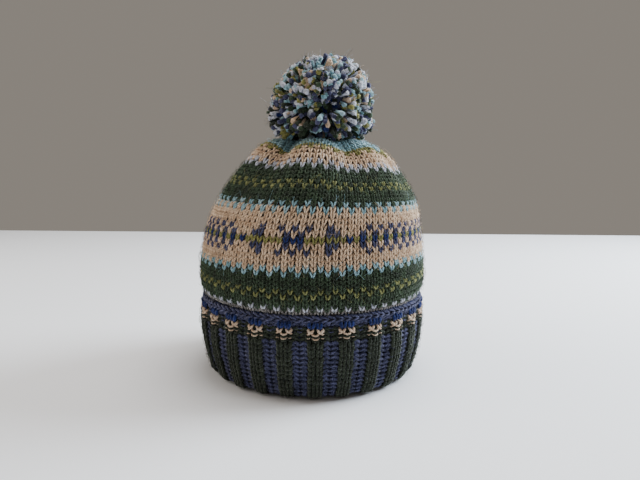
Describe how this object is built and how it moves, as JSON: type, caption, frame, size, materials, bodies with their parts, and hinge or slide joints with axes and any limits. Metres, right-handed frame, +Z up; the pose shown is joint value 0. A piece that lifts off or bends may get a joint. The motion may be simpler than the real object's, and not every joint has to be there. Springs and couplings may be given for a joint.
{
  "type": "bobble hat",
  "caption": "Hand-knitted Fair Isle bobble hat with a turned-up corrugated rib, a rolled cast-on edge, a gathered top and a big mixed-yarn pompom.",
  "frame": {"origin": "on the surface that the hat stands on, under the middle of its bounding box", "axes": "+Z up from the cuff's fold to the pompom, -Y towards the picture's camera, +X to the picture's right, which is also the way the crown leans"},
  "size_m": [0.1514, 0.1514, 0.2109],
  "materials": {
    "crown_wool": "matte",
    "rib_wool": "matte",
    "edge_wool": "matte",
    "pompom_wool": "matte"
  },
  "bodies": {
    "root": {"crown": "crown_wool", "cuff": "rib_wool", "cuff_edge": "edge_wool", "pompom": "pompom_wool"}
  },
  "joints": []
}
